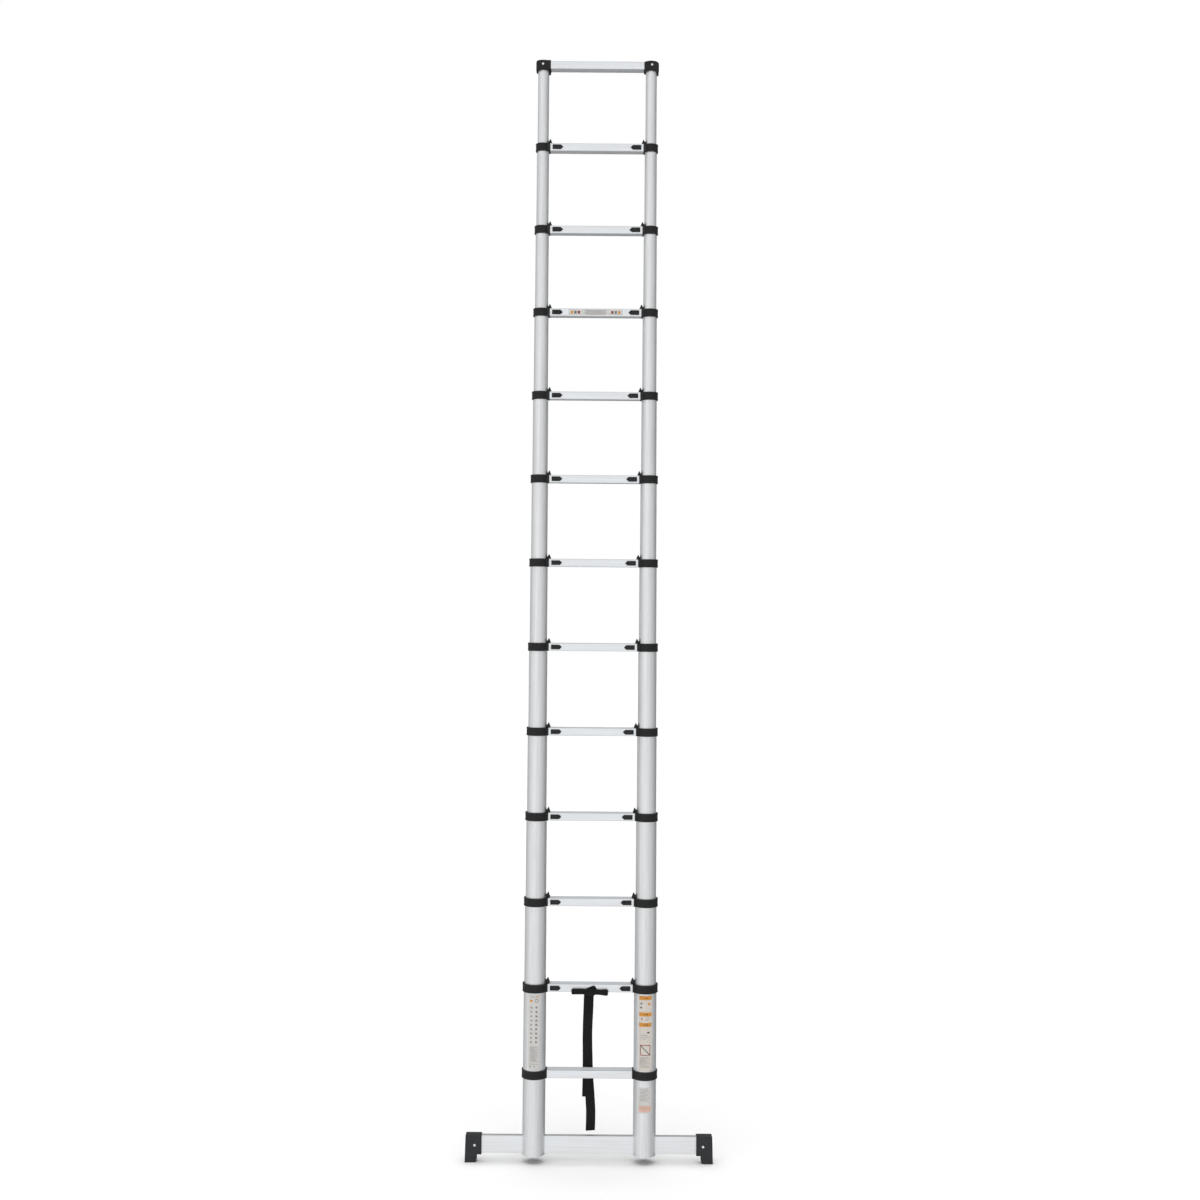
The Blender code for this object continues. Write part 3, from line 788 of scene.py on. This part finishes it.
def build_bar():
    """The hollow crossbar, with rounded edges."""
    depth, height = BAR_HIGH.y - BAR_LOW.y, BAR_HIGH.z - BAR_LOW.z
    wall, corner = 0.0015, 0.0018
    outer = rounded_rectangle(depth, height, corner)
    inner = rounded_rectangle(depth - 2 * wall, height - 2 * wall, corner - INNER_CORNER * wall)
    bar = moved(extrusion(outer, inner, BAR_LOW.x, BAR_HIGH.x), (0, 0, (BAR_LOW.z + BAR_HIGH.z) / 2))
    piece(bar, "crossbar", "base", "bar", ("stabiliser_bar",))


def make_foot(low, high):
    """The right foot: an end cap on the bar whose leg stands on the floor, splayed outwards."""
    top, inner, leg, outer = high.z, low.x, low.x + LEG_INSET, high.x - FOOT_SPLAY
    bend, toe = 0.008, 0.0082
    outline = [(inner, FOOT_SHOULDER), (leg - 0.002, FOOT_SHOULDER), (leg, FOOT_SHOULDER - 0.002), (leg, toe)]
    outline += arc(leg + bend, toe, bend, 180, 262, 6)[1:]
    outline += [(leg + 0.010, 0.0), (high.x, 0.0)]
    outline += arc(outer - 0.004, top - 0.004, 0.004, 0, 90, 4)
    outline += arc(inner + 0.0015, top - 0.0015, 0.0015, 90, 180, 2)
    half = (high.y - low.y) / 2
    foot = bevelled(prism(outline, "y", -half, half), 0.0018, 3, 40)
    rim, sill = 0.0042, 0.013
    roof = top - rim - 0.001
    panel = [(inner + rim, FOOT_SHOULDER + rim), (leg + rim, FOOT_SHOULDER + rim), (leg + rim + 0.004, sill),
             (high.x - rim - 0.001, sill), (outer - rim, roof), (inner + rim, roof)]
    for side in (-1, 1):
        cut(foot, prism(panel, "y", *sorted((side * (half - FOOT_PANEL), side * (half + 0.002)))))
    for i in range(5):
        at = leg + 0.014 + 0.0065 * i
        cut(foot, box((at, -PAST, -0.001), (at + 0.0022, PAST, 0.0016)))
    return foot


def build_feet():
    """Two mirrored feet with the bar's ends in them, each with a rivet in a round recess."""
    low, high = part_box("foot_right")
    foot = make_foot(low, high)
    cut(foot, bar_passage(0.002, STILE_X, BAR_HIGH.x + GAP))
    seat = low.y + FOOT_PANEL + FOOT_RECESS
    cut(foot, rod(0.0062, "y", -PAST, seat, at=(FOOT_RIVET_X, FOOT_RIVET_Z)))
    for name, side in SIDES:
        copy = moved(twin(foot), mirror=side < 0)
        piece(copy, f"foot_shell_{name}", "base", "foot", (f"foot_{name}",), 30)
        rivet = moved(rivet_head(0.0045, 0.0018), (side * FOOT_RIVET_X, seat, FOOT_RIVET_Z))
        piece(rivet, f"foot_rivet_{name}", "base", "steel")
    bpy.data.objects.remove(foot, do_unlink=True)


def make_screw():
    """A countersunk cross-head screw standing just proud of the tube, facing -Y."""
    head = rivet_head(0.0036, 0.0009)
    for degrees in (20, 110):
        slot = box((-0.0022, -0.002, -0.00035), (0.0022, -0.0004, 0.00035))
        slot.data.transform(Matrix.Rotation(math.radians(degrees), 4, "Y"))
        cut(head, slot)
    return head


def build_bar_screws():
    """Two screws through the front and back of each outer tube hold the bar."""
    screw = moved(make_screw(), (0, -BASE_RADIUS + 2 * FIT, 0))
    for name, side in SIDES:
        for level, height in SCREW_HEIGHTS:
            for face, turn in (("front", 0.0), ("back", math.pi)):
                copy = moved(twin(screw), (side * STILE_X, 0, height), turn=turn)
                piece(copy, f"bar_screw_{name}_{level}_{face}", "base", "steel")
    bpy.data.objects.remove(screw, do_unlink=True)


# ---------------------------------------------------------------- carrying strap


def smooth_path(points, steps=8):
    """Points on a Catmull-Rom curve through the given ones."""
    points = [Vector(p) for p in points]
    ends = [2 * points[0] - points[1], *points, 2 * points[-1] - points[-2]]
    path = []
    for i in range(1, len(ends) - 2):
        p0, p1, p2, p3 = ends[i - 1:i + 3]
        for k in range(steps):
            t = k / steps
            path.append(0.5 * (2 * p1 + (p2 - p0) * t + (2 * p0 - 5 * p1 + 4 * p2 - p3) * t * t
                               + (3 * p1 - p0 - 3 * p2 + p3) * t ** 3))
    return path + [points[-1]]


def ribbon(path, slant):
    """Webbing along a path, its width along X: rounded selvedges, a faint hollow, and a slanted end."""
    across, hollow = 12, 0.0003
    rings = []
    for i, point in enumerate(path):
        ahead = path[min(i + 1, len(path) - 1)] - path[max(i - 1, 0)]
        ahead.x = 0.0
        out = Vector((1, 0, 0)).cross(ahead.normalized())
        end = slant if i == len(path) - 1 else 0.0
        ring = []
        rows = [(u, 1) for u in range(across + 1)] + [(u, -1) for u in range(across, -1, -1)]
        for u, face in rows:
            s = 2 * u / across - 1
            level = face * WEBBING / 2 * (1.0 if abs(s) < 0.97 else 0.55) - hollow * (1 - s * s)
            ring.append(tuple(point + Vector((s * STRAP_WIDTH / 2, 0, end * s)) + out * level))
        rings.append(ring)
    return loft(rings)


def make_handle(low, high):
    """The T-shaped grip: rolled webbing, thicker at its ends, the right one drooping a little."""
    half = (high.x - low.x) / 2 + 0.0025
    middle_y, middle_z = low.y + 0.0058, high.z - GRIP_MIDDLE
    rings = []
    rows = 36
    for i in range(rows + 1):
        s = 2 * i / rows - 1
        end = max(0.0, (abs(s) - 0.955) / 0.045)  # from 0 to 1 over the rounded last part
        size = math.sqrt(max(0.02, 1 - end * end))
        swell = 1.0 + 0.05 * math.cos(2.2 * math.pi * s) + 0.03 * math.sin(9.0 * s)
        drop = -0.0022 * max(0.0, s) ** 1.5 - 0.0006 * math.sin(3.0 * s)
        tall = 0.0185 * swell * (0.5 + 0.5 * size)
        outline = rounded_rectangle(0.0102 * swell * size, tall, 0.0040 * size, 5)
        rings.append([(s * half - 0.001, middle_y + y + 0.0004 * math.sin(5 * s), middle_z + z + drop)
                      for y, z in outline])
    return loft(rings)


def make_fold(middle_z):
    """Folded webbing that rises over the tread's face above the grip, to a point right of centre."""
    front = -RUNG_DEPTH / 2 - 0.0004
    rises = ((-0.022, 0.006), (-0.004, 0.0135), (0.010, 0.0195), (0.014, 0.0200), (0.0165, 0.0175),
             (0.024, 0.006))
    outline = [(x, middle_z + rise) for x, rise in rises]
    return bevelled(prism(outline, "y", front - 0.0042, front), 0.0012, 3)


def stitch_row(places):
    """Short raised stitches at the given places, each lying along X."""
    half = Vector((0.0013, 0.00035, 0.0004))
    return join(*(bevelled(box(Vector(place) - half, Vector(place) + half), 0.0003, 2) for place in places))


def build_strap():
    """Webbing that is folded round a grip in front of rung 2, passes under it and hangs behind rung 1."""
    low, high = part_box("carry_strap")
    middle_z = high.z - GRIP_MIDDLE
    under = rung_z(BASE_RUNG) - RUNG_HEIGHT / 2
    grip_front = low.y - 0.0008

    handle = make_handle(low, high)
    piece(handle, "strap_grip", "base", "webbing", ("carry_strap",), 50)
    fold = make_fold(middle_z)
    piece(fold, "strap_fold", "base", "webbing")

    back = RUNG_DEPTH / 2 + STRAP_CLEAR
    long_route = [
        (0.001, grip_front + 0.0020, middle_z + 0.0090), (0.0, grip_front, middle_z + 0.004),
        (0.0, grip_front + 0.0001, middle_z - 0.0045), (-0.0005, grip_front + 0.0032, middle_z - 0.0105),
        (-0.001, -0.0210, under - 0.0022), (-0.002, -0.0100, under - 0.0013),
        (-0.003, 0.0080, under - 0.0013), (-0.003, back - 0.0030, under - 0.0017),
        (-0.003, back + 0.0004, under - 0.0060),
        (-0.0045, back + 0.0008, 0.510), (-0.0075, back + 0.0005, 0.430), (-0.0060, back, 0.355),
        (-0.0040, back + 0.0001, rung_z(1)), (-0.0010, back + 0.0006, 0.255), (0.0022, back + 0.0010, 0.215),
        (0.0050, back + 0.0012, 0.170), (0.0052, back + 0.0010, 0.135),
        (0.0044, back + 0.0008, low.z + 0.0015),
    ]
    back += WEBBING + 0.0004
    short_route = [
        (-0.003, -0.0060, under - 0.0034), (-0.004, 0.0080, under - 0.0034),
        (-0.0045, back - 0.0044, under - 0.0038), (-0.0050, back + 0.0004, under - 0.0082),
        (-0.0065, back + 0.0006, 0.510), (-0.0085, back + 0.0003, 0.430), (-0.0080, back, 0.355),
        (-0.0075, back, rung_z(1)), (-0.0080, back + 0.0003, 0.250), (-0.0088, back + 0.0004, 0.2115),
    ]
    path, short_path = smooth_path(long_route), smooth_path(short_route)
    strap, tail = ribbon(path, 0.0012), ribbon(short_path, -0.0008)
    piece(strap, "strap_long_end", "base", "webbing", ("carry_strap",), 60)
    piece(tail, "strap_short_end", "base", "webbing", ("carry_strap",), 60)

    rows = stitch_row([(-0.0125 + 0.025 * i / 8, grip_front - 0.0011, middle_z + rise)
                       for i in range(9) for rise in (0.0035, -0.0040)])
    piece(rows, "strap_stitching", "base", "webbing")


# ---------------------------------------------------------------- generic labels


def curved_patch(bm, radius, spans, thickness, material_index):
    """A thin film bent round a tube. Its spans are the angles from the front and the heights."""
    (a0, a1), (z0, z1) = spans
    steps = max(1, math.ceil(math.degrees(a1 - a0) / 4))
    turns = [a0 + (a1 - a0) * i / steps for i in range(steps + 1)]
    rows = ((radius, z0), (radius + thickness, z0), (radius + thickness, z1), (radius, z1))
    loops = [[bm.verts.new((r * math.sin(a), -r * math.cos(a), z)) for a in turns] for r, z in rows]
    sides = [(lower[i], lower[i + 1], upper[i + 1], upper[i])
             for lower, upper in zip(loops, loops[1:] + loops[:1]) for i in range(steps)]
    for corners in sides + [[loop[i] for loop in loops] for i in (0, steps)]:
        bm.faces.new(corners).material_index = material_index


def place_label(bm, name, kinds, place, body):
    label = moved(object_from(bm, name), place)
    for kind in kinds:
        label.data.materials.append(MATERIALS[kind])
    piece(label, name, body, None)


def tube_label(name, side, base, span, marks):
    """A film on an outer tube with printed marks. A mark is (material, x, z, width, height)."""
    kinds = [base] + sorted({mark[0] for mark in marks})
    width, low, high = span
    radius = BASE_RADIUS + FIT
    bm = bmesh.new()
    half = width / 2 / BASE_RADIUS
    curved_patch(bm, radius, ((-half, half), (low, high)), FILM, 0)
    for kind, x, z, w, h in marks:
        angles = ((x - w / 2) / BASE_RADIUS, (x + w / 2) / BASE_RADIUS)
        curved_patch(bm, radius + FILM, (angles, (z - h / 2, z + h / 2)), PRINT, kinds.index(kind))
    place_label(bm, name, kinds, (side * STILE_X, 0, 0), "base")


def text_rows(x, width, high, low, pitch, thickness=0.0011):
    """Plain bars of varied length, standing for rows of small print."""
    marks = []
    for i in range(int((high - low) / pitch)):
        part = 0.78 + 0.22 * math.sin(2.4 * i + 40 * x)
        marks.append(("faint", x - width * (1 - part) / 2, high - i * pitch, width * part, thickness))
    return marks


def build_labels():
    """Plain films in the places of the real ones, with bars and dots in place of any words or signs."""
    low, high = rung_z(1) + 0.0185, rung_z(2) - 0.0185
    marks = [("amber", 0.009, high - 0.007, 0.007, 0.0035), ("faint", -0.006, high - 0.008, 0.016, 0.0014),
             ("amber", -0.011, high - 0.021, 0.009, 0.007)]
    for i in range(12):
        a = 2 * math.pi * i / 12
        x, z = 0.0052 * math.cos(a), 0.0052 * math.sin(a)
        marks.append(("ink", 0.007 + x, high - 0.021 + z, 0.0022, 0.0016))
    for row in range(9):
        z = high - 0.043 - 0.0145 * row
        for column, x in enumerate((-0.0115, 0.006)):
            size = 0.0022 + 0.0012 * math.sin(3.1 * row + 2 * column) ** 2
            marks += [("ink", x, z, size, 0.006), ("faint", x + 0.0035, z - 0.001, 0.0026, 0.0040)]
    marks += text_rows(0.0, 0.031, low + 0.078, low + 0.026, 0.0034)
    marks += [("ink", x, low + 0.012, 0.003, 0.0035) for x in (-0.012, 0.0)]
    marks.append(("faint", 0.0, low + 0.020, 0.031, 0.0009))
    tube_label("label_left", -1, "film", (0.041, low, high), marks)

    bands = [high - drop for drop in (0.0085, 0.0635, 0.0985)]
    marks = [("amber", 0.0, z, 0.044, 0.0135) for z in bands]
    marks += [("ink", x, z, 0.0065, 0.0032) for z in bands for x in (-0.004, 0.005)]
    marks += [("amber", 0.013, high - 0.0285, 0.008, 0.0075), ("ink", -0.015, high - 0.041, 0.006, 0.005),
              ("faint", -0.014, high - 0.0275, 0.007, 0.006)]
    marks += text_rows(0.008, 0.018, high - 0.0745, high - 0.0895, 0.0045)
    marks += [("red", -0.012, high - 0.078, 0.004, 0.006), ("ink", 0.0105, high - 0.1245, 0.008, 0.005)]
    marks += text_rows(0.0, 0.036, high - 0.1335, high - 0.1575, 0.006)
    frame_half, bar = 0.0165, 0.0024
    middle = high - 0.1835
    for sign in (-1, 1):
        marks += [("red", sign * frame_half, middle, bar, 2 * frame_half + bar),
                  ("red", 0.0, middle + sign * frame_half, 2 * frame_half, bar)]
    for i in range(14):
        s = (i / 13 - 0.5) * 2 * (frame_half - 0.002)
        marks.append(("ink", s, middle - s, 0.0034, 0.0028))
    marks += text_rows(0.0, 0.036, middle - 0.024, low + 0.006, 0.0036)
    tube_label("label_right", 1, "film_warm", (0.046, low, high), marks)

    high, low = rung_z(1) - 0.037, rung_z(1) - 0.123
    marks = text_rows(0.0, 0.034, high - 0.007, high - 0.053, 0.0046)
    marks.append(("pink", 0.0, low + 0.0145, 0.042, 0.021))
    marks += text_rows(0.0, 0.030, low + 0.021, low + 0.007, 0.0046, 0.0008)
    tube_label("label_right_low", 1, "film", (0.046, low, high), marks)


def build_rung_label():
    """A narrow film on the front of rung 10, with small coloured marks at both ends."""
    front = -RUNG_DEPTH / 2 - FIT
    kinds = ["film", "red", "amber", "faint"]
    marks = [(kind, side * x, 0.0, 0.008, 0.010) for side in (-1, 1)
             for kind, x in (("red", 0.058), ("faint", 0.070), ("amber", 0.082))]
    marks += [("faint", 0.0, 0.0075 - 0.003 * i, 0.078 - 0.006 * (i % 3), 0.0011) for i in range(6)]
    bm = bmesh.new()

    def plate(kind, x, z, width, height, back, front_face):
        corners = [(x - width / 2, z - height / 2), (x + width / 2, z - height / 2),
                   (x + width / 2, z + height / 2), (x - width / 2, z + height / 2)]
        before = len(bm.faces)
        skin(bm, [[(px, y, pz) for px, pz in corners] for y in (back, front_face)])
        bm.faces.ensure_lookup_table()
        for face in bm.faces[before:]:
            face.material_index = kinds.index(kind)

    plate("film", 0.0, 0.0, 0.188, 0.020, front, front - FILM)
    for mark in marks:
        plate(*mark, front - FILM, front - FILM - PRINT)
    place_label(bm, f"label_rung_{LABEL_RUNG}", kinds, (0, 0, rung_z(LABEL_RUNG)), body_of_stage(LABEL_RUNG))


# ---------------------------------------------------------------- floor, light and camera


def build_floor():
    """A wide white floor. The metal mirrors the studio's walls instead of it."""
    reach = 30.0
    bm = bmesh.new()
    bm.faces.new([bm.verts.new((x * reach, y * reach, 0)) for x, y in ((-1, -1), (1, -1), (1, 1), (-1, 1))])
    floor = object_from(bm, "studio_floor")
    floor.data.materials.append(pale_floor("floor_white"))
    floor.visible_glossy = False


def soft_light(kind, name, place, aim, **settings):
    """A light of one of Blender's kinds, not seen by the camera, turned from its place to its aim."""
    light = bpy.data.lights.new(name, kind)
    for setting, value in settings.items():
        setattr(light, setting, value)
    obj = bpy.data.objects.new(name, light)
    obj.location = place
    obj.rotation_euler = (Vector(aim) - Vector(place)).to_track_quat("-Z", "Y").to_euler()
    obj.visible_camera = False
    bpy.context.scene.collection.objects.link(obj)
    return obj


def build_world():
    """White to the camera. As light it is brightest at the front on the left, and evenly dim above."""
    world = bpy.data.worlds.new("studio")
    bpy.context.scene.world = world
    world.use_nodes = True
    nodes, links = world.node_tree.nodes, world.node_tree.links
    glow, seen = nodes["Background"], nodes.new("ShaderNodeBackground")
    for background in (glow, seen):
        background.inputs["Color"].default_value = (1, 1, 1, 1)
    place = nodes.new("ShaderNodeTexCoord").outputs["Generated"]
    toward = nodes.new("ShaderNodeVectorMath")
    toward.operation = "DOT_PRODUCT"
    toward.inputs[1].default_value = KEY_SIDE
    split = nodes.new("ShaderNodeSeparateXYZ")
    sides, above = nodes.new("ShaderNodeMapRange"), nodes.new("ShaderNodeMapRange")
    for node, values in ((sides, (-1.0, 1.0, *WALL_LIGHT)), (above, (*CEILING_BLEND, 0.0, 1.0))):
        for name, value in zip(("From Min", "From Max", "To Min", "To Max"), values):
            node.inputs[name].default_value = value
    blend = nodes.new("ShaderNodeMix")
    blend.inputs[3].default_value = CEILING_LIGHT
    mix = nodes.new("ShaderNodeMixShader")
    camera_ray = nodes.new("ShaderNodeLightPath").outputs["Is Camera Ray"]
    surface = nodes["World Output"].inputs["Surface"]
    for source, target in (
            (place, toward.inputs[0]), (place, split.inputs[0]), (toward.outputs["Value"], sides.inputs["Value"]),
            (split.outputs["Z"], above.inputs["Value"]), (above.outputs["Result"], blend.inputs[0]),
            (sides.outputs["Result"], blend.inputs[2]), (blend.outputs[0], glow.inputs["Strength"]),
            (camera_ray, mix.inputs[0]), (glow.outputs[0], mix.inputs[1]), (seen.outputs[0], mix.inputs[2]),
            (mix.outputs[0], surface)):
        links.new(source, target)


def build_lights():
    """A tall softbox at the front on the left, and an even light from above that no metal mirrors."""
    middle = (0, 0, CAD_BOX[1].z / 2)
    soft_light("AREA", "key_softbox", (-3.0, -4.6, 2.6), middle, shape="RECTANGLE", size=1.4, size_y=4.4,
               energy=6)
    above = soft_light("SUN", "top_light", (0.0, 0.0, 7.0), (0, 0, 0), angle=1.3, energy=1.75)
    above.visible_glossy = False


def build_camera():
    data = bpy.data.cameras.new("camera")
    data.lens, data.sensor_width, data.shift_y = CAMERA_LENS, SENSOR, CAMERA_SHIFT
    camera = bpy.data.objects.new("camera", data)
    turn = Matrix.Rotation(math.pi / 2 + CAMERA_TILT, 4, "X") @ Matrix.Rotation(CAMERA_ROLL, 4, "Z")
    camera.matrix_world = Matrix.Translation(CAMERA_PLACE) @ turn
    bpy.context.scene.collection.objects.link(camera)
    bpy.context.scene.camera = camera


for build in (build_camera, build_world, build_lights, build_floor, build_sliding_tubes, build_base_tubes,
              build_tube_plugs, build_collars, build_treads, build_locks, build_caps, build_bar, build_feet,
              build_bar_screws, build_strap, build_labels, build_rung_label):
    build()
bpy.context.scene.view_settings.view_transform = "Standard"
